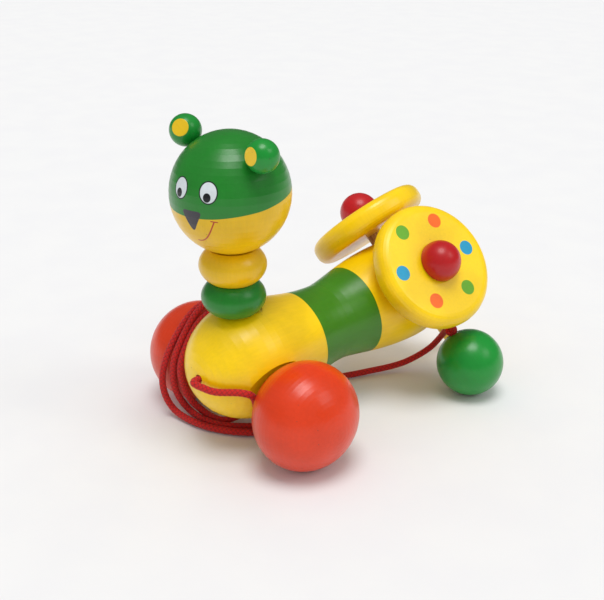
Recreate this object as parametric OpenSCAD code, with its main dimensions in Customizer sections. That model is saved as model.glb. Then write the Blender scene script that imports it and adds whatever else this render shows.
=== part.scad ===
// Pull along toy: a turned wooden animal with two ball wheels, a bead neck,
// a round head and two spinning discs on its back. Millimetres, +Z up, the toy
// faces -Y. The frame sits on the floor under the middle of the toy.

/* [Wheels] */
// diameter of the two ball wheels
wheel_d = 44; // [38:1:50]
// width of a ball wheel along its axle, flat to outer end
wheel_w = 33; // [30:0.5:35]
// diameter of the wheel axle
axle_d = 8; // [6:0.5:10]
// radial clearance of a turning piece on its dowel
run_gap = 0.08; // [0.06:0.01:0.1]

/* [Body] */
// length of the turned body
body_l = 136; // [124:1:150]
// largest diameter of the front of the body
front_d = 49; // [46:0.5:52]
// smallest diameter of the waist
waist_d = 34.5; // [30:0.5:38]
// largest diameter of the rear of the body
rear_d = 45.6; // [42:0.5:48]
// height of the body's axis above the axle
body_rise = 10.4; // [9:0.2:12]
// slope of the body, rear end up
body_pitch = 6; // [4:0.5:8]

/* [Neck and head] */
// diameter of the head ball
head_d = 47; // [42:1:52]
// diameter of the upper neck bead
bead_upper_d = 27; // [24:0.5:30]
// height of the upper neck bead
bead_upper_h = 13.4; // [12:0.2:15]
// diameter of the lower neck bead
bead_lower_d = 26; // [23:0.5:29]
// height of the lower neck bead
bead_lower_h = 13; // [12:0.2:15]
// diameter of an ear ball
ear_d = 12.7; // [11:0.1:14]
// turn of the head towards the left side of the toy
head_turn = 9; // [0:1:20]

/* [Discs] */
// diameter of a spotted disc
disc_d = 56; // [50:1:62]
// thickness of a spotted disc
disc_t = 11; // [9:0.2:12]
// lean of the left disc's peg from upright
lean_left = 51; // [48:1:54]
// lean of the right disc's peg from upright
lean_right = 41; // [39:1:44]
// diameter of a disc peg
disc_peg_d = 7; // [6:0.5:8]
// diameter of the red dome on the end of a disc peg
cap_d = 18; // [16:0.5:20]
// gap under the left disc
gap_left = 1.2; // [1:0.1:4]
// gap under the right disc
gap_right = 5.2; // [4:0.1:7]

/* [Pull cord] */
// diameter of the cord
cord_d = 3; // [2.4:0.1:3.2]
// diameter of the handle ball
handle_d = 29.8; // [26:0.2:33]

/* [Hidden] */
$fn = 96;
fit = 0.05;
part_gap = 0.3;
axle_y = -48.3;
wheel_r = wheel_d / 2;
wheel_half = wheel_d * 0.447;
wheel_cut = wheel_w - wheel_half;
wheel_face = front_d / 2 - 0.1;
wheel_x = wheel_face + wheel_cut;
spot_x = wheel_face - 3.6;
spot_r = wheel_r * 0.78;
axle_end = wheel_x + wheel_half * 0.45;

front_r = front_d / 2;
waist_r = waist_d / 2;
rear_r = rear_d / 2;
front_s = -26;
front_mid = 1.2;
waist_s = front_s + body_l * 0.508;
rear_mid = front_s + body_l * 0.806;
rear_s = front_s + body_l;
front_bend = 0.83;
rear_bend = 0.7;
steps = 12;

neck_y = axle_y - 6.4;
neck_d = 8;
neck_foot = wheel_r + body_rise - 2;
seat_z = wheel_r + body_rise + front_r - 1.3;
seat_r = bead_lower_d * 0.43;
low_z = seat_z + part_gap;
up_z = low_z + bead_lower_h + part_gap;
head_base = up_z + bead_upper_h + part_gap;
bead_full = 0.7;
head_r = head_d / 2;
head_tall = head_r * 1.02;
head_z = head_base + head_tall - 1.7;
neck_top = head_z - head_r * 0.25;

ear_r = ear_d / 2;
left_ear = [50, 13];
right_ear = [45, 8];
left_spot = [8, -7];
right_spot = [23, 26];
ear_reach = head_r * 1.017 + ear_r - 0.35;
ear_peg_d = 4;
ear_peg_in = 6;
ear_peg_out = ear_r * 0.5;
ear_spot = ear_r * 0.86;

left_s = rear_mid + 2.4;
right_s = rear_mid + 8.4;
toe_right = 5;
disc_r = disc_d / 2;
disc_round = disc_t * 0.42;
disc_seat = rear_r - 0.5;
disc_root = 6;
cap_r = cap_d / 2;
cap_flat = cap_r * 0.12;
cap_in = cap_r * 0.6;
cap_gap = 0.4;

tail_r = 2.5;
tail_y = axle_y + rear_s + 14;
tail_tilt = 38;
tail_end = 44;

cord_r = cord_d / 2;
cord_hole = cord_r + part_gap;
cord_in = [3.4, -15, 33];
handle_at = [37.3, 95.2, handle_d / 2];
knot_lean = [-37.2, 0, 18.3];
knot_r = 3.4;
knot_tail = 9;
knot_stub = 8;

// points of the cord, measured from the floor under the axle
cord_start = [[3.4, -17, 33], [3.4, -26, 33], [4.2, -29.6, 32.6], [8.6, -28.4, 31.8], [14, -25.6, 31.2],
    [21.4, -18, 31.2], [22.5, -13.4, 27], [22.5, -12.5, 15], [22.3, -9, 6], [21.5, 0, 2],
    [19, 14, 2], [8, 28, 2]];
loop_outer = [[-10, 34, 2], [-25, 31.5, 7], [-30.5, 27, 24], [-31, 14, 41.5], [-30.9, -3, 46.2],
    [-28, -19.2, 34.4], [-29.7, -24, 18], [-27, -21, 4.2], [-10, -17, 2], [5, -7, 2],
    [11.5, 6, 2], [3, 22, 2]];
loop_middle = [[-12, 28, 2.4], [-25, 25.5, 12], [-27.6, 23.6, 27], [-27.6, 10, 43.5],
    [-27.4, -4, 47.3], [-24.4, -19.2, 32.4], [-26, -20.6, 16.5], [-24, -15.5, 3.6], [-9, -12.6, 2],
    [3, -2, 2], [6, 7, 2], [-2, 17, 2]];
loop_inner = [[-14, 23, 4], [-24, 21, 15], [-24.3, 19.6, 30], [-24.2, 6, 44.2], [-23.6, -8, 42.9],
    [-21.4, -19.4, 28], [-22.6, -17, 13], [-20, -11.5, 3.4], [-9, -8.2, 2]];
cord_away = [[-4, 0, 4.4], [-4, 12, 5.9], [-6, 25, 5.9], [-8, 39, 4.8], [-8, 54, 2],
    [-3, 70, 2], [3.5, 86, 3.8], [9.5, 97, 10], [16.5, 98.5, 19.5], [24.2, 93.2, 27.5]];
cord_path = concat(cord_start, loop_outer, loop_middle, loop_inner, cord_away);
cord_sides = 8;
cord_steps = 2;

// smooth step from 0 to 1
function ease(t) = (1 - cos(180 * t)) / 2;
// radius of the body on either side of its waist
function swell(t) = waist_r + (rear_r - waist_r) * ease(pow(t, rear_bend));
function shrink(t) = front_r - (front_r - waist_r) * ease(pow(t, front_bend));
function front_arc() = [for (i = [0 : steps]) let (a = 90 * i / steps)
    [front_r * sin(a), front_mid - (front_mid - front_s) * cos(a)]];
function waist_front() = [for (i = [1 : steps]) let (t = i / steps)
    [shrink(t), front_mid + (waist_s - front_mid) * t]];
function waist_rear() = [for (i = [1 : steps]) let (t = i / steps)
    [swell(t), waist_s + (rear_mid - waist_s) * t]];
function rear_arc() = [for (i = [1 : steps]) let (a = 90 * i / steps)
    [rear_r * cos(a), rear_mid + (rear_s - rear_mid) * sin(a)]];
// outline of a ball squashed along its axis and cut flat at low and high
function squashed(r, half, low, high) = concat([[0, low]], [for (i = [0 : 2 * steps])
    let (z = half * sin(asin(low / half) + (asin(high / half) - asin(low / half)) * i / (2 * steps)))
    [r * sqrt(max(0, 1 - pow(z / half, 2))), z]], [[0, high]]);
// quarter round at the rim of a disc, from the angle given
function rim(from) = [for (i = [0 : steps / 2]) let (a = from + 180 * i / steps)
    [disc_r - disc_round + disc_round * cos(a),
        (from < 0 ? disc_round : disc_t - disc_round) + disc_round * sin(a)]];
// point on the smooth curve through the cord points
function held(p, i) = p[max(0, min(len(p) - 1, i))];
function curve(a, b, c, d, t) = (2 * b + (c - a) * t + (2 * a - 5 * b + 4 * c - d) * t * t
    + (3 * b - a - 3 * c + d) * t * t * t) / 2;
function smooth(p) = concat([for (i = [0 : len(p) - 2], k = [0 : cord_steps - 1])
    curve(held(p, i - 1), p[i], p[i + 1], held(p, i + 2), k / cord_steps)], [p[len(p) - 1]]);
function unit(v) = v / norm(v);
function ahead(p, i) = unit(held(p, i + 1) - held(p, i - 1));
// side direction carried along the cord without twist
function carry(p, side, i) = let (t = ahead(p, i)) unit(side - t * (side * t));
function sides(p, i = 0, side = [0, 0, 1]) = i == len(p) ? [] :
    let (s = carry(p, side, i)) concat([s], sides(p, i + 1, s));
function ring(c, t, s) = [for (k = [0 : cord_sides - 1]) let (a = 360 * k / cord_sides)
    c + cord_r * (cos(a) * s + sin(a) * cross(t, s))];

module at_body() {
    translate([0, axle_y, wheel_r])
        rotate([body_pitch, 0, 0])
            translate([0, 0, body_rise])
                children();
}

module at_disc(side) {
    at_body()
        translate([0, side > 0 ? left_s : right_s, 0])
            rotate([side > 0 ? 0 : toe_right, side > 0 ? lean_left : -lean_right, 0])
                children();
}

module at_head() {
    translate([0, neck_y, head_z])
        rotate([0, 0, head_turn])
            children();
}

// lean of an ear from upright, and how far ahead of the head's middle it sits
function ear_of(side) = side > 0 ? left_ear : right_ear;
// rise of an ear's flat front, and its turn towards the left
function spot_of(side) = side > 0 ? left_spot : right_spot;

module at_ear(side) {
    at_head()
        rotate([0, 0, -side * ear_of(side)[1]])
            rotate([0, side * ear_of(side)[0], 0])
                children();
}

module at_tail() {
    translate([0, tail_y, tail_r])
        rotate([tail_tilt, 0, 0])
            children();
}

module at_handle() {
    translate([0, axle_y, 0])
        translate(handle_at)
            rotate([0, knot_lean[0], knot_lean[2]])
                children();
}

module body() {
    color([0.88, 0.74, 0.06])
        difference() {
            at_body()
                rotate([-90, 0, 0])
                    rotate_extrude()
                        polygon(concat(front_arc(), waist_front(), waist_rear(), rear_arc()));
            translate([0, axle_y, wheel_r])
                rotate([0, 90, 0])
                    cylinder(h = 2 * wheel_x, r = axle_d / 2 + run_gap, center = true);
            for (side = [-1, 1])
                translate([side * (spot_x + wheel_r), axle_y, wheel_r])
                    rotate([0, 90, 0])
                        cylinder(h = wheel_d, r = spot_r, center = true);
            translate([0, neck_y, neck_foot - fit])
                cylinder(h = head_r * 2, r = neck_d / 2 + fit);
            translate([0, neck_y, seat_z])
                cylinder(h = head_r, r = seat_r);
            for (side = [-1, 1])
                at_disc(side) {
                    translate([0, 0, disc_root - fit])
                        cylinder(h = rear_r * 2, r = disc_peg_d / 2 + fit);
                    translate([0, 0, disc_seat])
                        cylinder(h = rear_r, r = disc_peg_d);
                }
            at_tail()
                cylinder(h = tail_end + fit, r = tail_r + fit);
            translate([cord_in[0], axle_y + cord_in[1], cord_in[2]])
                rotate([90, 0, 0])
                    cylinder(h = front_r, r = cord_hole);
        }
}

module front_axle() {
    color([0.80, 0.66, 0.45])
        translate([0, axle_y, wheel_r])
            rotate([0, 90, 0])
                cylinder(h = 2 * axle_end, r = axle_d / 2, center = true);
}

module wheel(side) {
    color([0.83, 0.33, 0.17])
        translate([side * wheel_x, axle_y, wheel_r])
            rotate([0, side * 90, 0])
                difference() {
                    rotate_extrude()
                        polygon(squashed(wheel_r, wheel_half, -wheel_cut, wheel_half));
                    translate([0, 0, -wheel_cut - wheel_r])
                        cylinder(h = wheel_r + wheel_cut + wheel_half * 0.45 + fit,
                            r = axle_d / 2 + fit);
                }
}

module wheel_left() {
    wheel(1);
}

module wheel_right() {
    wheel(-1);
}

module neck_peg() {
    color([0.80, 0.66, 0.45])
        translate([0, neck_y, neck_foot])
            cylinder(h = neck_top - neck_foot, r = neck_d / 2);
}

module bead(d, h) {
    difference() {
        rotate_extrude()
            polygon(squashed(d / 2, h * bead_full, -h / 2, h / 2));
        cylinder(h = 2 * h, r = neck_d / 2 + run_gap, center = true);
    }
}

module neck_bead_lower() {
    color([0.22, 0.50, 0.20])
        translate([0, neck_y, low_z + bead_lower_h / 2])
            bead(bead_lower_d, bead_lower_h);
}

module neck_bead_upper() {
    color([0.80, 0.66, 0.11])
        translate([0, neck_y, up_z + bead_upper_h / 2])
            bead(bead_upper_d, bead_upper_h);
}

module head() {
    color([0.24, 0.52, 0.25])
        difference() {
            at_head()
                rotate_extrude()
                    polygon(squashed(head_r, head_tall, head_base - head_z, head_tall));
            translate([0, neck_y, head_base - head_r])
                cylinder(h = head_r + neck_top - head_base + fit, r = neck_d / 2 + fit);
            for (side = [-1, 1])
                at_ear(side)
                    translate([0, 0, head_r - ear_peg_in - fit])
                        cylinder(h = head_r, r = ear_peg_d / 2 + fit);
        }
}

module ear(side) {
    color([0.24, 0.52, 0.25])
        difference() {
            at_ear(side)
                translate([0, 0, ear_reach])
                    sphere(r = ear_r);
            at_ear(side)
                translate([0, 0, ear_reach - ear_r * 2])
                    cylinder(h = ear_r * 2 + ear_peg_out + fit, r = ear_peg_d / 2 + fit);
            at_head()
                translate(ear_reach * [side * sin(ear_of(side)[0]) * cos(ear_of(side)[1]),
                    -sin(ear_of(side)[0]) * sin(ear_of(side)[1]), cos(ear_of(side)[0])])
                    rotate([90 - spot_of(side)[0], 0, spot_of(side)[1]])
                        translate([0, 0, ear_spot])
                            cylinder(h = ear_r, r = ear_r);
        }
}

module ear_left() {
    ear(1);
}

module ear_right() {
    ear(-1);
}

module ear_peg(side) {
    color([0.80, 0.66, 0.45])
        at_ear(side)
            translate([0, 0, head_r - ear_peg_in])
                cylinder(h = ear_reach + ear_peg_out - head_r + ear_peg_in, r = ear_peg_d / 2);
}

module ear_peg_left() {
    ear_peg(1);
}

module ear_peg_right() {
    ear_peg(-1);
}

module disc(side, gap) {
    color([0.90, 0.78, 0.08])
        at_disc(side)
            translate([0, 0, disc_seat + gap])
                difference() {
                    rotate_extrude()
                        polygon(concat([[0, 0]], rim(-90), rim(0), [[0, disc_t]]));
                    cylinder(h = disc_t * 3, r = disc_peg_d / 2 + run_gap, center = true);
                }
}

module disc_left() {
    disc(1, gap_left);
}

module disc_right() {
    disc(-1, gap_right);
}

module disc_peg(side, gap) {
    color([0.80, 0.66, 0.45])
        at_disc(side)
            translate([0, 0, disc_root])
                cylinder(h = disc_seat + gap + disc_t + cap_gap + cap_in - disc_root,
                    r = disc_peg_d / 2);
}

module disc_peg_left() {
    disc_peg(1, gap_left);
}

module disc_peg_right() {
    disc_peg(-1, gap_right);
}

module disc_cap(side, gap) {
    color([0.75, 0.15, 0.13])
        at_disc(side)
            translate([0, 0, disc_seat + gap + disc_t + cap_gap])
                difference() {
                    translate([0, 0, cap_flat])
                        sphere(r = cap_r);
                    translate([0, 0, -cap_r])
                        cylinder(h = cap_r, r = cap_r);
                    translate([0, 0, -cap_r])
                        cylinder(h = cap_r + cap_in + fit, r = disc_peg_d / 2 + fit);
                }
}

module disc_cap_left() {
    disc_cap(1, gap_left);
}

module disc_cap_right() {
    disc_cap(-1, gap_right);
}

module tail_peg() {
    color([0.88, 0.74, 0.06])
        at_tail() {
            sphere(r = tail_r);
            cylinder(h = tail_end, r = tail_r);
        }
}

module pull_cord() {
    path = smooth(cord_path);
    side = sides(path);
    last = len(path) - 1;
    rings = [for (i = [0 : last]) each ring(path[i], ahead(path, i), side[i])];
    color([0.75, 0.11, 0.08])
        translate([0, axle_y, 0])
            polyhedron(points = rings, faces = concat(
                [[for (k = [0 : cord_sides - 1]) k]],
                [[for (k = [cord_sides - 1 : -1 : 0]) last * cord_sides + k]],
                [for (i = [0 : last - 1], k = [0 : cord_sides - 1]) let (
                    a = i * cord_sides + k, b = i * cord_sides + (k + 1) % cord_sides)
                    each [[a, a + cord_sides, b], [b, a + cord_sides, b + cord_sides]]]));
}

module handle_knot() {
    color([0.75, 0.11, 0.08])
        at_handle() {
            translate([0, 0, handle_d / 2 + knot_r - 0.4])
                sphere(r = knot_r);
            translate([0, 0, handle_d / 2 - knot_stub])
                cylinder(h = knot_stub + knot_r, r = cord_r);
            translate([0, 0, handle_d / 2 + knot_r])
                rotate([0, 30, 0])
                    cylinder(h = knot_tail, r = cord_r * 0.9);
        }
}

module handle_ball() {
    color([0.20, 0.46, 0.20])
        difference() {
            at_handle()
                sphere(r = handle_d / 2);
            at_handle()
                cylinder(h = handle_d * 1.5, r = cord_hole, center = true);
            at_handle()
                translate([0, 0, handle_d / 2 - 0.6])
                    cylinder(h = knot_r, r = knot_r);
        }
}

body();
front_axle();
wheel_left();
wheel_right();
neck_peg();
neck_bead_lower();
neck_bead_upper();
head();
ear_left();
ear_right();
ear_peg_left();
ear_peg_right();
disc_left();
disc_right();
disc_peg_left();
disc_peg_right();
disc_cap_left();
disc_cap_right();
tail_peg();
pull_cord();
handle_knot();
handle_ball();
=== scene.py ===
import math

import bpy
from mathutils import Matrix, Vector


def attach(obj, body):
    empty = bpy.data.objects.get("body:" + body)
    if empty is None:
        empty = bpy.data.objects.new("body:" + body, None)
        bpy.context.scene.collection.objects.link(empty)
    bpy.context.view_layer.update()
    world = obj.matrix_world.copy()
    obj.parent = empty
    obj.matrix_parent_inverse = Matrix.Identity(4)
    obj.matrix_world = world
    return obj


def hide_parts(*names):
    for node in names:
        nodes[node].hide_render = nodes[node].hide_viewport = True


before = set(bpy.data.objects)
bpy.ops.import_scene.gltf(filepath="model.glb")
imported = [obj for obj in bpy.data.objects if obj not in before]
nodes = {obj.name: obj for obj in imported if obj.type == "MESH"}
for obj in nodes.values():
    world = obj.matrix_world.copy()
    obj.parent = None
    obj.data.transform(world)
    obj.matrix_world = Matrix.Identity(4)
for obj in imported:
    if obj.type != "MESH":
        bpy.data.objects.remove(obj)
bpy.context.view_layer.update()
MM = 0.001

# ---------------------------------------------------------------- places in the row frame
AXLE_Y = -48.3                              # mm
WHEEL_R = 22                                # mm
AXLE = Vector((0, AXLE_Y, WHEEL_R)) * MM
BODY_TILT = math.radians(6)                 # the body's line rises to the rear
BODY_RISE = 10.4 * MM                       # from the axle up to the body's line
HEAD_Y = AXLE_Y - 6.4
HEAD = Vector((0, HEAD_Y, 105.17)) * MM
HEAD_R = 23.5 * MM
HEAD_TURN = math.radians(9)
NECK = Vector((0, HEAD_Y, 0)) * MM
TAIL = Vector((0, AXLE_Y + 124, 2.5)) * MM
TAIL_LEAN = math.radians(38)

# the two sides differ: 1 is the left one, at +X, and -1 the right one
DISC_LEAN = {1: 51, -1: -41}                # degrees from upright
DISC_TOE = {1: 0, -1: 5}                    # degrees
DISC_S = {1: 86.0 * MM, -1: 92.0 * MM}      # along the body's line, from over the axle
DISC_FACE = {1: 34.5 * MM, -1: 38.5 * MM}   # from the body's line to the disc's outer face
EAR_LEAN = {1: (50, 13), -1: (45, 8)}       # degrees out from upright, and forward
EAR_FACES = {1: (-7, 8), -1: (26, 23)}      # azimuth and elevation of the flat, in degrees
EAR_R = 6.35 * MM
EAR_SINK = 0.35 * MM
EAR_REACH = HEAD_R * 1.017 + EAR_R - EAR_SINK

HANDLE = Vector((37.3, AXLE_Y + 95.2, 14.9)) * MM
HANDLE_TURN = math.radians(18.3)
HANDLE_LEAN = math.radians(-37.2)

body_turn = Matrix.Rotation(BODY_TILT, 3, "X")
body_axis = body_turn @ Vector((0, 1, 0))
head_turn = Matrix.Rotation(HEAD_TURN, 3, "Z")
handle_turn = Matrix.Rotation(HANDLE_TURN, 3, "Z") @ Matrix.Rotation(HANDLE_LEAN, 3, "Y")


def disc_origin(side):
    """Where a disc's peg meets the body's line."""
    return AXLE + body_turn @ Vector((0, DISC_S[side], BODY_RISE))


def disc_turn(side):
    """A disc's own axes, the last one out along its peg."""
    toe = Matrix.Rotation(math.radians(DISC_TOE[side]), 3, "X")
    lean = Matrix.Rotation(math.radians(DISC_LEAN[side]), 3, "Y")
    return body_turn @ lean @ toe


def direction(azimuth, elevation):
    """A unit vector, from degrees: azimuth 0 is straight ahead of the toy and 90 its left."""
    a, e = math.radians(azimuth), math.radians(elevation)
    return Vector((math.sin(a) * math.cos(e), -math.cos(a) * math.cos(e), math.sin(e)))


# ---------------------------------------------------------------- camera
CAMERA_TARGET = Vector((-6.63, AXLE_Y + 41.02, 48.47)) * MM
CAMERA_AZIMUTH, CAMERA_ELEVATION = 50.41, 23.08   # degrees
CAMERA_ROLL = math.radians(0.27)
CAMERA_DISTANCE = 0.43587


def make_camera():
    data = bpy.data.cameras.new("camera")
    camera = bpy.data.objects.new("camera", data)
    bpy.context.scene.collection.objects.link(camera)
    bpy.context.scene.camera = camera
    back = direction(CAMERA_AZIMUTH, CAMERA_ELEVATION)
    camera.location = CAMERA_TARGET + back * CAMERA_DISTANCE
    turn = (-back).to_track_quat("-Z", "Y").to_matrix() @ Matrix.Rotation(CAMERA_ROLL, 3, "Z")
    camera.rotation_mode = "QUATERNION"
    camera.rotation_quaternion = turn.to_quaternion()
    data.sensor_width = 36
    data.lens = 59.6
    data.shift_x = -0.0215
    data.shift_y = -0.0116
    data.clip_start, data.clip_end = 0.01, 20


make_camera()


# ---------------------------------------------------------------- cord
def mm(points):
    """Points in metres, from millimetres with y counted from the axle."""
    return [Vector((x, y + AXLE_Y, z)) * MM for x, y, z in points]


CORD_D = 3 * MM
# from inside the body out of its hole, down behind the left wheel, three times over the axle
# beside the right wheel and back under the body, then along the floor to the handle
CORD_POINTS = mm([
    (3.4, -17, 33), (3.4, -26, 33), (4.2, -29.6, 32.6), (8.6, -28.4, 31.8),
    (14, -25.6, 31.2), (21.4, -18, 31.2), (22.5, -13.4, 27), (22.5, -12.5, 15),
    (22.3, -9, 6), (21.5, 0, 2), (19, 14, 2), (8, 28, 2),
    (-10, 34, 2), (-25, 31.5, 7), (-30.5, 27, 24), (-31, 14, 41.5), (-30.9, -3, 46.2),
    (-28, -19.2, 34.4), (-29.7, -24, 18), (-27, -21, 4.2), (-10, -17, 2), (5, -7, 2),
    (11.5, 6, 2), (3, 22, 2),
    (-12, 28, 2.4), (-25, 25.5, 12), (-27.6, 23.6, 27), (-27.6, 10, 43.5), (-27.4, -4, 47.3),
    (-24.4, -19.2, 32.4), (-26, -20.6, 16.5), (-24, -15.5, 3.6), (-9, -12.6, 2), (3, -2, 2),
    (6, 7, 2), (-2, 17, 2),
    (-14, 23, 4), (-24, 21, 15), (-24.3, 19.6, 30), (-24.2, 6, 44.2), (-23.6, -8, 42.9),
    (-21.4, -19.4, 28), (-22.6, -17, 13), (-20, -11.5, 3.4), (-9, -8.2, 2),
    (-4, 0, 4.4), (-4, 12, 5.9), (-6, 25, 5.9), (-8, 39, 4.8), (-8, 54, 2), (-3, 70, 2),
    (3.5, 86, 3.8), (9.5, 97, 10), (16.5, 98.5, 19.5), (24.2, 93.2, 27.5)])


def smooth(points, per_span):
    """Points along the smooth curve through the points given."""
    last = len(points) - 1
    out = []
    for i in range(last):
        a, b, c, d = (points[min(max(i + k, 0), last)] for k in (-1, 0, 1, 2))
        for k in range(per_span):
            t = k / per_span
            out.append((2 * b + (c - a) * t + (2 * a - 5 * b + 4 * c - d) * t * t
                        + (3 * b - a - 3 * c + d) * t ** 3) / 2)
    return out + [points[last]]


def spaced(points, step):
    """The same line with its points an equal step apart."""
    lengths = [0.0]
    for a, b in zip(points, points[1:]):
        lengths.append(lengths[-1] + (b - a).length)
    count = max(2, round(lengths[-1] / step))
    out, i = [], 0
    for k in range(count + 1):
        want = lengths[-1] * k / count
        while i < len(points) - 2 and lengths[i + 1] < want:
            i += 1
        span = lengths[i + 1] - lengths[i]
        out.append(points[i].lerp(points[i + 1], (want - lengths[i]) / span if span else 0))
    return out


STRANDS = 4          # strands each way round the braid
BRAID_PITCH = 2.6    # cord diameters for a strand to go once round
BRAID_DEPTH = 0.10   # height of a strand over the grooves, as a share of the radius
STRAND_DIP = 0.45    # how far a strand dips where it goes under, as a share of its height


def braid_height(along, around):
    """0 in the grooves of the braid, 1 on the crest of a strand. Both inputs count strands."""
    u, v = around + along, around - along
    over = (math.floor(u) + math.floor(v)) % 2 == 0
    across = (u if over else v) % 1.0
    length = (v if over else u) % 1.0
    crest = 1 - (2 * across - 1) ** 2
    return crest * (1 - STRAND_DIP + STRAND_DIP * math.sin(math.pi * length))


def braided_tube(name, line, diameter, sides, step):
    """A mesh tube along line whose surface is a braid. Its UV map counts strands."""
    path = spaced(line, step)
    last = len(path) - 1
    side = Vector((0, 0, 1))
    verts, faces, uvs = [], [], []
    per_step = step / (diameter * BRAID_PITCH) * STRANDS
    for i, p in enumerate(path):
        ahead = (path[min(i + 1, last)] - path[max(i - 1, 0)]).normalized()
        side = side - ahead * side.dot(ahead)
        if side.length < 1e-6:
            side = ahead.orthogonal()
        side.normalize()
        other = ahead.cross(side)
        for k in range(sides):
            a = 2 * math.pi * k / sides
            h = braid_height(i * per_step, k / sides * STRANDS)
            r = diameter / 2 * (1 - BRAID_DEPTH * (1 - h))
            verts.append(p + (side * math.cos(a) + other * math.sin(a)) * r)
    for i in range(last):
        for k in range(sides):
            n = (k + 1) % sides
            near, far = i * sides, (i + 1) * sides
            faces.append((near + k, near + n, far + n, far + k))
            u0, u1 = k / sides * STRANDS, (k + 1) / sides * STRANDS
            v0, v1 = i * per_step, (i + 1) * per_step
            uvs += [(u0, v0), (u1, v0), (u1, v1), (u0, v1)]
    for end, ring in ((path[0], 0), (path[last], last)):
        verts.append(end)
        for k in range(sides):
            n = (k + 1) % sides
            tri = (len(verts) - 1, ring * sides + n, ring * sides + k)
            faces.append(tri[::-1] if ring else tri)
            uvs += [(0, 0)] * 3
    mesh = bpy.data.meshes.new(name)
    mesh.from_pydata([tuple(v) for v in verts], [], faces)
    layer = mesh.uv_layers.new(name="strands")
    layer.data.foreach_set("uv", [c for uv in uvs for c in uv])
    mesh.shade_smooth()
    mesh.update()
    obj = bpy.data.objects.new(name, mesh)
    bpy.context.scene.collection.objects.link(obj)
    return obj


cord_line = smooth(CORD_POINTS, 16)
cord = braided_tube("braided_cord", cord_line, CORD_D, 24, 0.45 * MM)
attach(cord, "chassis")
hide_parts("pull_cord")

# ---------------------------------------------------------------- knot over the handle ball
KNOT_STRAND = 2.5 * MM
KNOT_UP = 18.0       # mm from the ball's middle to the knot's
KNOT_WIDE = 0.98     # mm for one unit of the knot's curve, across and up
KNOT_DEEP = 0.95     # the same through the knot
KNOT_TAIL_LEAN = math.radians(30)


def at_handle(x, y, z):
    """A point given in millimetres from the handle ball's middle, z along its bore."""
    return HANDLE + handle_turn @ (Vector((x, y, z)) * MM)


def knot_line():
    """The cord comes in, is tied in one overhand knot and ends in a short tail."""
    line = [at_handle(0, 0, 8), at_handle(0, 0, 12), at_handle(0.2, 0, 15)]
    for k in range(1, 24):
        t = 2 * math.pi * (k / 25 + 0.02)
        x = math.sin(t) + 2 * math.sin(2 * t)
        y = math.cos(t) - 2 * math.cos(2 * t)
        z = -math.sin(3 * t)
        line.append(at_handle(x * KNOT_WIDE, z * KNOT_DEEP, KNOT_UP + y * KNOT_WIDE))
    tail = Matrix.Rotation(KNOT_TAIL_LEAN, 3, "Y")
    for s in (4.2, 6, 8, 9.2):
        line.append(at_handle(*(Vector((0, 0, KNOT_UP)) + tail @ Vector((0, 0, s)))))
    return smooth(line, 8)


knot = braided_tube("overhand_knot", knot_line(), KNOT_STRAND, 20, 0.3 * MM)
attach(knot, "chassis")
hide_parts("handle_knot")

[tuple(p) for p in spaced(cord_line, 1 * MM)]


# ---------------------------------------------------------------- materials
def linear(r, g, b):
    """Linear colour of an sRGB colour given from 0 to 255."""
    return tuple((c / 255 / 12.92) if c <= 10 else ((c / 255 + 0.055) / 1.055) ** 2.4
                 for c in (r, g, b)) + (1,)


YELLOW = linear(250, 208, 0)
YELLOW_DEEP = linear(236, 190, 0)
GREEN = linear(30, 128, 38)
GREEN_BAND = linear(62, 128, 12)
GREEN_BALL = linear(18, 142, 48)
ORANGE = linear(222, 58, 10)
RED = linear(190, 16, 22)
SPOT_ORANGE = linear(248, 104, 4)
SPOT_BLUE = linear(14, 150, 192)
SPOT_GREEN = linear(98, 168, 26)
BIRCH = linear(214, 178, 132)
BIRCH_DARK = linear(176, 132, 84)
EAR_YELLOW = linear(238, 196, 20)
SPECK = linear(60, 50, 30)
WHITE = linear(214, 222, 226)
BLACK = linear(22, 26, 28)
NOSE = linear(58, 56, 64)
MOUTH = linear(184, 52, 16)
CORD = linear(206, 14, 10)
# painted shade: the darker red laid into the braid's grooves
CORD_GROOVE_SHADE = linear(110, 10, 20)
CORD_FUZZ = linear(226, 34, 26)
PAPER = linear(229, 229, 229)
PAPER_COOL = linear(227, 227, 228)


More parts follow.
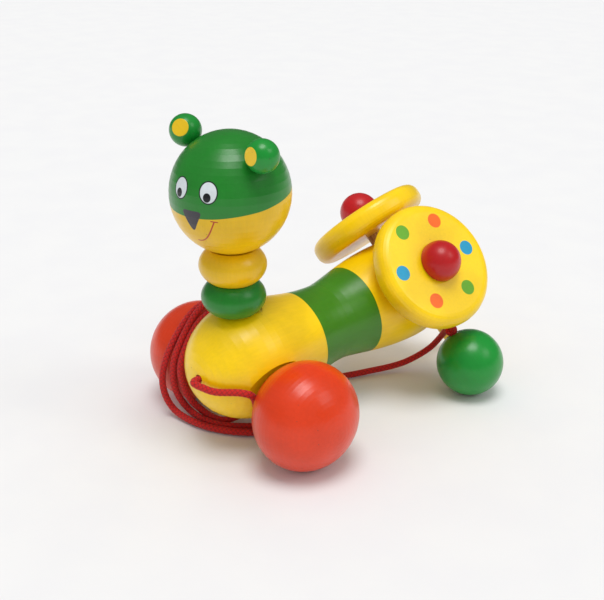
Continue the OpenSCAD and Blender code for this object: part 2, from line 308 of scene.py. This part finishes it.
class Paint:
    """A material and short ways to add nodes to it."""

    def __init__(self, name):
        self.material = bpy.data.materials.new(name)
        self.material.use_nodes = True
        self.tree = self.material.node_tree
        self.shader = next(n for n in self.tree.nodes if n.type == "BSDF_PRINCIPLED")
        self.place = self.add("ShaderNodeTexCoord").outputs["Object"]

    def add(self, kind, **settings):
        node = self.tree.nodes.new(kind)
        for key, value in settings.items():
            setattr(node, key, value)
        return node

    def feed(self, socket, value):
        if isinstance(value, bpy.types.NodeSocket):
            self.tree.links.new(value, socket)
        elif value is not None:
            socket.default_value = value

    def math(self, operation, *values, clamp=False):
        node = self.add("ShaderNodeMath", operation=operation, use_clamp=clamp)
        for socket, value in zip(node.inputs, values):
            self.feed(socket, value)
        return node.outputs[0]

    def vector(self, operation, *values):
        node = self.add("ShaderNodeVectorMath", operation=operation)
        for socket, value in zip(node.inputs, values):
            self.feed(socket, value)
        return node.outputs["Value" if operation == "DOT_PRODUCT" else "Vector"]

    def join(self, x, y, z):
        node = self.add("ShaderNodeCombineXYZ")
        for socket, value in zip(node.inputs, (x, y, z)):
            self.feed(socket, value)
        return node.outputs[0]

    def mix(self, share, a, b):
        node = self.add("ShaderNodeMix", data_type="RGBA", clamp_factor=True)
        self.feed(node.inputs["Factor"], share)
        self.feed(node.inputs[6], a)
        self.feed(node.inputs[7], b)
        return node.outputs[2]

    def noise(self, scale, place=None, detail=3.0, rough=0.5):
        node = self.add("ShaderNodeTexNoise")
        self.feed(node.inputs["Vector"], place or self.place)
        self.feed(node.inputs["Scale"], scale)
        self.feed(node.inputs["Detail"], detail)
        self.feed(node.inputs["Roughness"], rough)
        return node.outputs["Fac"]

    def remap(self, value, low, high, to_low=0.0, to_high=1.0):
        node = self.add("ShaderNodeMapRange", interpolation_type="SMOOTHSTEP")
        for socket, v in zip(node.inputs, (value, low, high, to_low, to_high)):
            self.feed(socket, v)
        return node.outputs[0]

    def local(self, origin, turn):
        """Coordinates, in metres, in a frame with that origin and those axes."""
        moved = self.vector("SUBTRACT", self.place, tuple(origin))
        return [self.vector("DOT_PRODUCT", moved, tuple(turn.col[k])) for k in range(3)]

    def bump(self, height, distance, under=None):
        node = self.add("ShaderNodeBump")
        self.feed(node.inputs["Strength"], 1.0)
        self.feed(node.inputs["Distance"], distance)
        self.feed(node.inputs["Height"], height)
        self.feed(node.inputs["Normal"], under)
        return node.outputs[0]


# sizes of the lacquer's marks, as noise scales per metre
CLOUD_SCALE = 45.0
FIBRE_ACROSS, FIBRE_ALONG = 900.0, 70.0
RING_SCALE = 1500.0
PEEL_SCALE = 520.0
SPECK_SCALE = 1100.0
GLOSS_SCALE = 120.0
LACQUER_RELIEF = 0.06 * MM
GLOSS = 0.34         # roughness of the paint
DOME_GLOSS = 0.36


def lacquer(paint, colour, axes, origin, marks=None, gloss=GLOSS):
    """Painted turned wood: soft clouds in the colour, faint turning rings and fibre, few specks."""
    x, y, along = paint.local(origin, axes)
    cloud = paint.noise(CLOUD_SCALE, detail=2.0)
    shade = paint.remap(cloud, 0.3, 0.7, 0.90, 1.06)
    fibre = paint.noise(1.0, paint.join(paint.math("MULTIPLY", x, FIBRE_ACROSS),
                                        paint.math("MULTIPLY", y, FIBRE_ACROSS),
                                        paint.math("MULTIPLY", along, FIBRE_ALONG)), detail=4.0)
    rings = paint.noise(1.0, paint.join(0.0, 0.0, paint.math("MULTIPLY", along, RING_SCALE)),
                        detail=2.0)
    peel = paint.noise(PEEL_SCALE, detail=2.0)
    pores = paint.remap(paint.noise(SPECK_SCALE, detail=0.0), 0.86, 0.89)
    toned = paint.add("ShaderNodeHueSaturation")
    streaks = paint.remap(fibre, 0.25, 0.75, 0.965, 1.025)
    paint.feed(toned.inputs["Value"], paint.math("MULTIPLY", shade, streaks))
    paint.feed(toned.inputs["Color"], colour)
    final = paint.mix(paint.math("MULTIPLY", pores, 0.5), toned.outputs[0], SPECK)
    paint.feed(paint.shader.inputs["Base Color"], final)
    rough = paint.remap(paint.noise(GLOSS_SCALE, detail=3.0), 0.3, 0.7, gloss - 0.05, gloss + 0.09)
    paint.feed(paint.shader.inputs["Roughness"], rough)
    paint.shader.inputs["Specular IOR Level"].default_value = 0.3
    paint.shader.inputs["Coat Weight"].default_value = 0.4
    paint.shader.inputs["Coat Roughness"].default_value = 0.26
    height = paint.math("ADD", paint.math("MULTIPLY", fibre, 0.5),
                        paint.math("ADD", paint.math("MULTIPLY", rings, 0.03),
                                   paint.math("MULTIPLY", peel, 0.5)))
    height = paint.math("SUBTRACT", height, paint.math("MULTIPLY", pores, 1.2))
    if marks is not None:
        height = paint.math("ADD", height, marks)
    paint.feed(paint.shader.inputs["Normal"], paint.bump(height, LACQUER_RELIEF))
    return paint.material


def dress(node, material):
    """Gives a CAD node its material."""
    mesh = nodes[node].data
    mesh.materials.clear()
    mesh.materials.append(material)


def along(axis):
    """Three axes, the last of them along axis."""
    z = Vector(axis).normalized()
    x = z.orthogonal().normalized()
    return Matrix((x, z.cross(x), z)).transposed()


def plain(name, colour, axis, origin, gloss=GLOSS):
    """Lacquer of one colour, turned about axis."""
    return lacquer(Paint(name), colour, along(axis), origin, gloss=gloss)


# body: yellow, with a green band round the waist
BAND_START, BAND_END = 28.3 * MM, 57.8 * MM   # along the body's axis, from the axle
BAND_SOFT = 0.12 * MM
BAND_WANDER = 0.6 * MM


def body_paint():
    paint = Paint("body_paint")
    _, _, s = paint.local(AXLE, along(body_axis))
    wander = paint.math("SUBTRACT", paint.noise(60.0, detail=1.0), 0.5)
    s = paint.math("ADD", s, paint.math("MULTIPLY", wander, BAND_WANDER))
    start = paint.remap(s, BAND_START - BAND_SOFT, BAND_START + BAND_SOFT)
    end = paint.remap(s, BAND_END - BAND_SOFT, BAND_END + BAND_SOFT)
    band = paint.math("SUBTRACT", start, end)
    colour = paint.mix(band, YELLOW, GREEN_BAND)
    marks = paint.math("MULTIPLY", band, 0.6)
    return lacquer(paint, colour, along(body_axis), AXLE, marks=marks)


# head: green over yellow, with the face painted on the ball
FACE_AZ = 9.5                         # degrees, where the face looks
PAINT_SPLIT = (-0.004, -0.153, 1.0)   # normal of the plane where green meets yellow
NOSE_AT = (FACE_AZ - 2.0, -9.5)       # azimuth and elevation, in degrees
# nose: each edge's outward direction and its distance from the middle in mm
NOSE_EDGES = ((0.0, 1.0, 2.9), (0.87, -0.50, 2.95), (-0.90, -0.43, 2.95))
NOSE_ROUND = 3.5                      # a higher power gives sharper corners
MOUTH_AT = (FACE_AZ - 1.0, -14)
SMILE_WIDE, SMILE_DEEP, SMILE_END = 8.7, 9.4, 1.0   # mm
EYE_APART, EYE_UP = 16, 15.8          # degrees from the face's middle
EYE_RIM, EYE_WHITE, PUPIL = (3.65, 4.25), (3.2, 3.8), (1.5, 1.7)   # mm, half sizes
PUPIL_OFF = (-0.45, -1.85)            # mm from the eye's middle
OVAL_SOFT = 0.1                       # mm


def head_paint():
    paint = Paint("head_paint")
    x, y, z = paint.local(HEAD, head_turn)
    spot = paint.vector("NORMALIZE", paint.join(x, y, z))

    def flat(azimuth, elevation):
        """Millimetres across and up on the ball from the direction given."""
        out = direction(azimuth, elevation)
        right = direction(azimuth + 90, 0)
        up = direction(azimuth, elevation + 90)
        u = paint.math("MULTIPLY", paint.vector("DOT_PRODUCT", spot, tuple(right)), HEAD_R / MM)
        v = paint.math("MULTIPLY", paint.vector("DOT_PRODUCT", spot, tuple(up)), HEAD_R / MM)
        front = paint.math("GREATER_THAN", paint.vector("DOT_PRODUCT", spot, tuple(out)), 0.0)
        return u, v, front

    def oval(u, v, front, wide, tall):
        a = paint.math("DIVIDE", u, wide)
        b = paint.math("DIVIDE", v, tall)
        r = paint.math("SQRT", paint.math("ADD", paint.math("MULTIPLY", a, a),
                                          paint.math("MULTIPLY", b, b)))
        soft = OVAL_SOFT / min(wide, tall)
        return paint.math("MULTIPLY", paint.remap(r, 1 + soft, 1 - soft), front)

    def shift(u, v, du, dv):
        return paint.math("SUBTRACT", u, du), paint.math("SUBTRACT", v, dv)

    wander = paint.math("SUBTRACT", paint.noise(70.0, detail=1.0), 0.5)
    wave = paint.math("MULTIPLY", wander, 0.02)
    line = paint.vector("DOT_PRODUCT", spot, PAINT_SPLIT)
    line = paint.math("ADD", line, wave)
    upper = paint.remap(line, -0.017, -0.007)
    colour = paint.mix(upper, YELLOW_DEEP, GREEN)
    raised = paint.math("MULTIPLY", upper, 0.6)

    # nose: a triangle with round corners, from three rounded edges
    u, v, front = flat(*NOSE_AT)
    powers = []
    for nx, ny, reach in NOSE_EDGES:
        edge = paint.math("ADD", paint.math("MULTIPLY", u, nx / reach),
                          paint.math("MULTIPLY", v, ny / reach))
        powers.append(paint.math("POWER", paint.math("MAXIMUM", edge, 0.0), NOSE_ROUND))
    total = paint.math("ADD", powers[0], paint.math("ADD", powers[1], powers[2]))
    nose = paint.math("MULTIPLY", paint.remap(total, 1.12, 0.9), front)

    # mouth: half a smile, on the left only, with a small tick across its end
    u, v, front = flat(*MOUTH_AT)
    bend = SMILE_DEEP / SMILE_WIDE ** 2
    square = paint.math("MULTIPLY", u, u)
    rise = paint.math("MULTIPLY", square, bend)
    above = paint.math("ADD", v, SMILE_DEEP - SMILE_END)
    off = paint.math("ABSOLUTE", paint.math("SUBTRACT", above, rise))
    lean = paint.math("MULTIPLY", square, (2 * bend) ** 2)
    off = paint.math("DIVIDE", off, paint.math("SQRT", paint.math("ADD", lean, 1.0)))
    arc = paint.math("MULTIPLY", paint.remap(off, 0.36, 0.16), paint.remap(v, 1.2, 0.6))
    arc = paint.math("MULTIPLY", arc, paint.remap(u, -0.9, -0.5))
    tu, tv = shift(u, v, SMILE_WIDE, SMILE_END)
    off = paint.math("ABSOLUTE", paint.math("SUBTRACT", tv, paint.math("MULTIPLY", tu, -0.2)))
    tick = paint.math("MULTIPLY", paint.remap(off, 0.34, 0.14),
                      paint.remap(paint.math("ABSOLUTE", tu), 1.5, 1.1))
    mouth = paint.math("MULTIPLY", paint.math("MAXIMUM", arc, tick), front)
    colour = paint.mix(mouth, colour, MOUTH)
    colour = paint.mix(nose, colour, NOSE)
    raised = paint.math("ADD", raised, paint.math("MULTIPLY", nose, 0.5))

    for side in (-1, 1):
        u, v, front = flat(FACE_AZ + side * EYE_APART, EYE_UP)
        colour = paint.mix(oval(u, v, front, *EYE_RIM), colour, BLACK)
        white = oval(u, v, front, *EYE_WHITE)
        colour = paint.mix(white, colour, WHITE)
        raised = paint.math("ADD", raised, paint.math("MULTIPLY", white, 0.4))
        pu, pv = shift(u, v, *PUPIL_OFF)
        colour = paint.mix(oval(pu, pv, front, *PUPIL), colour, BLACK)
    return lacquer(paint, colour, head_turn, HEAD, marks=raised)


# ears: a yellow spot on the flat front
EAR_FLAT = 5.43 * MM   # from the ear's middle
EAR_FLAT_SOFT = 0.1 * MM


def ear_paint(name, centre, axis, out):
    paint = Paint(name)
    x, y, z = paint.local(centre, head_turn)
    depth = paint.vector("DOT_PRODUCT", paint.join(x, y, z), tuple(out))
    spot = paint.remap(depth, EAR_FLAT - EAR_FLAT_SOFT, EAR_FLAT)
    colour = paint.mix(spot, GREEN_BALL, EAR_YELLOW)
    return lacquer(paint, colour, along(axis), centre, marks=paint.math("MULTIPLY", spot, 0.3))


# discs: six spots of three colours on each outer face, painted a little off centre
DOTS_OFF = (1.4 * MM, 0.8 * MM)
DOT_RING = 18.8 * MM
DOT_R, DOT_SOFT = 3.45 * MM, 0.25 * MM
DOT_STEP = 60                # degrees
DOT_START = {1: 148, -1: 32}   # degrees
PAINT_DEPTH = 1.5 * MM


def disc_paint(name, side):
    paint = Paint(name)
    turn = disc_turn(side)
    x, y, z = paint.local(disc_origin(side), turn)
    colour = YELLOW
    marks = 0.0
    outer = paint.math("GREATER_THAN", z, DISC_FACE[side] - PAINT_DEPTH)
    for k in range(6):
        angle = math.radians(DOT_START[side] - side * DOT_STEP * k)
        du = paint.math("SUBTRACT", x, DOT_RING * math.cos(angle) - DOTS_OFF[0])
        dv = paint.math("SUBTRACT", y, DOT_RING * math.sin(angle) - DOTS_OFF[1])
        r = paint.math("SQRT", paint.math("ADD", paint.math("MULTIPLY", du, du),
                                          paint.math("MULTIPLY", dv, dv)))
        spot = paint.math("MULTIPLY", paint.remap(r, DOT_R, DOT_R - DOT_SOFT), outer)
        colour = paint.mix(spot, colour, (SPOT_ORANGE, SPOT_BLUE, SPOT_GREEN)[k % 3])
        marks = paint.math("ADD", marks, paint.math("MULTIPLY", spot, 0.5))
    return lacquer(paint, colour, turn, disc_origin(side), marks=marks)


# bare birch for the dowels
def birch(name, axis, origin):
    paint = Paint(name)
    x, y, s = paint.local(origin, along(axis))
    grain = paint.noise(1.0, paint.join(paint.math("MULTIPLY", x, 1500.0),
                                        paint.math("MULTIPLY", y, 1500.0),
                                        paint.math("MULTIPLY", s, 90.0)), detail=5.0)
    colour = paint.mix(paint.remap(grain, 0.3, 0.7), BIRCH, BIRCH_DARK)
    paint.feed(paint.shader.inputs["Base Color"], colour)
    paint.feed(paint.shader.inputs["Roughness"], paint.remap(grain, 0.3, 0.7, 0.5, 0.7))
    paint.feed(paint.shader.inputs["Normal"], paint.bump(grain, 0.0001))
    return paint.material


# braided cord, with painted shade: a darker red in the grooves between the strands
def cord_paint():
    paint = Paint("cord_paint")
    uv = paint.add("ShaderNodeUVMap", uv_map="strands").outputs[0]
    parts = paint.add("ShaderNodeSeparateXYZ")
    paint.feed(parts.inputs[0], uv)
    u = paint.math("ADD", parts.outputs[0], parts.outputs[1])
    v = paint.math("SUBTRACT", parts.outputs[0], parts.outputs[1])
    cells = paint.math("ADD", paint.math("FLOOR", u), paint.math("FLOOR", v))
    over = paint.math("LESS_THAN", paint.math("FLOORED_MODULO", cells, 2.0), 0.5)
    fu, fv = paint.math("FRACT", u), paint.math("FRACT", v)
    flip = paint.math("SUBTRACT", 1.0, over)
    across = paint.math("ADD", paint.math("MULTIPLY", fu, over),
                        paint.math("MULTIPLY", fv, flip))
    crest = paint.math("SINE", paint.math("MULTIPLY", across, math.pi))
    threads = paint.math("SINE", paint.math("MULTIPLY", across, math.pi * 8))
    fuzz = paint.noise(2500.0, detail=3.0)
    # painted shade: the grooves between strands get the darker red, and the crests get the full
    # cord red
    colour = paint.mix(paint.remap(crest, 0.05, 0.7), CORD_GROOVE_SHADE, CORD)
    colour = paint.mix(paint.remap(fuzz, 0.35, 0.75, 0.0, 0.25), colour, CORD_FUZZ)
    paint.feed(paint.shader.inputs["Base Color"], colour)
    paint.shader.inputs["Roughness"].default_value = 0.72
    paint.shader.inputs["Sheen Weight"].default_value = 0.1
    paint.shader.inputs["Sheen Roughness"].default_value = 0.4
    height = paint.math("ADD", paint.math("MULTIPLY", threads, 0.5),
                        paint.math("MULTIPLY", fuzz, 0.8))
    paint.feed(paint.shader.inputs["Normal"], paint.bump(height, 0.00008))
    return paint.material


# ---------------------------------------------------------------- what wears what
for side in ("left", "right"):
    dress(f"wheel_{side}", plain(f"wheel_paint_{side}", ORANGE, (1, 0, 0), AXLE))
dress("body", body_paint())
dress("head", head_paint())
dress("neck_bead_lower", plain("bead_paint_lower", GREEN, (0, 0, 1), NECK))
dress("neck_bead_upper", plain("bead_paint_upper", YELLOW_DEEP, (0, 0, 1), NECK))
for side, sign in (("left", 1), ("right", -1)):
    tilt, ahead = (math.radians(a) for a in EAR_LEAN[sign])
    ear_axis = head_turn @ Vector((sign * math.sin(tilt) * math.cos(ahead),
                                   -math.sin(tilt) * math.sin(ahead), math.cos(tilt)))
    centre = HEAD + ear_axis * EAR_REACH
    ear_front = direction(*EAR_FACES[sign])
    dress(f"ear_{side}", ear_paint(f"ear_paint_{side}", centre, ear_axis, ear_front))
    dress(f"ear_peg_{side}", birch(f"ear_peg_birch_{side}", ear_axis, centre))
    foot = disc_origin(sign)
    disc_axis = disc_turn(sign) @ Vector((0, 0, 1))
    dress(f"disc_{side}", disc_paint(f"disc_paint_{side}", sign))
    dress(f"disc_peg_{side}", birch(f"disc_peg_birch_{side}", disc_axis, foot))
    dress(f"disc_cap_{side}", plain(f"cap_paint_{side}", RED, disc_axis, foot, gloss=DOME_GLOSS))
dress("front_axle", birch("axle_birch", (1, 0, 0), AXLE))
dress("neck_peg", birch("neck_birch", (0, 0, 1), NECK))
tail_axis = Matrix.Rotation(TAIL_LEAN, 3, "X") @ Vector((0, 0, 1))
dress("tail_peg", plain("tail_paint", YELLOW_DEEP, tail_axis, TAIL))
dress("handle_ball", plain("handle_paint", GREEN_BALL, handle_turn.col[2], HANDLE))
cord_material = cord_paint()
for piece in (cord, knot):
    piece.data.materials.append(cord_material)


# ---------------------------------------------------------------- floor, light, background
def make_floor():
    size = 3.0   # half its width, in metres
    mesh = bpy.data.meshes.new("floor")
    mesh.from_pydata([(-size, -size, 0), (size, -size, 0), (size, size, 0), (-size, size, 0)],
                     [], [(0, 1, 2, 3)])
    floor = bpy.data.objects.new("floor", mesh)
    bpy.context.scene.collection.objects.link(floor)
    paint = Paint("floor_paper")
    colour = paint.mix(paint.remap(paint.noise(30.0), 0.3, 0.7), PAPER, PAPER_COOL)
    paint.feed(paint.shader.inputs["Base Color"], colour)
    paint.shader.inputs["Roughness"].default_value = 0.9
    paint.shader.inputs["Specular IOR Level"].default_value = 0.1
    mesh.materials.append(paint.material)


def sun(name, azimuth, elevation, strength, spread):
    """Even light from a wide soft source; the direction is where it stands, in degrees."""
    data = bpy.data.lights.new(name, "SUN")
    data.energy = strength
    data.angle = math.radians(spread)
    light = bpy.data.objects.new(name, data)
    bpy.context.scene.collection.objects.link(light)
    light.rotation_mode = "QUATERNION"
    light.rotation_quaternion = (-direction(azimuth, elevation)).to_track_quat("-Z", "Y")


def make_world(ambient, mirrored, backdrop):
    """A white room: its strength as fill light, as seen in gloss, and as seen by the camera."""
    world = bpy.data.worlds.new("studio")
    bpy.context.scene.world = world
    world.use_nodes = True
    tree = world.node_tree
    path = tree.nodes.new("ShaderNodeLightPath")
    strength = ambient
    for kind, value in (("Is Glossy Ray", mirrored), ("Is Camera Ray", backdrop)):
        pick = tree.nodes.new("ShaderNodeMix")
        tree.links.new(path.outputs[kind], pick.inputs["Factor"])
        if isinstance(strength, bpy.types.NodeSocket):
            tree.links.new(strength, pick.inputs[2])
        else:
            pick.inputs[2].default_value = strength
        pick.inputs[3].default_value = value
        strength = pick.outputs[0]
    glow = tree.nodes["Background"]
    glow.inputs["Color"].default_value = (1, 1, 1, 1)
    tree.links.new(strength, glow.inputs["Strength"])


make_floor()
sun("overhead_softbox", 60, 80, 1.62, 30)
sun("side_softbox", 120, 40, 0.35, 25)
make_world(ambient=0.64, mirrored=0.12, backdrop=0.94)
bpy.context.scene.view_settings.view_transform = "Standard"
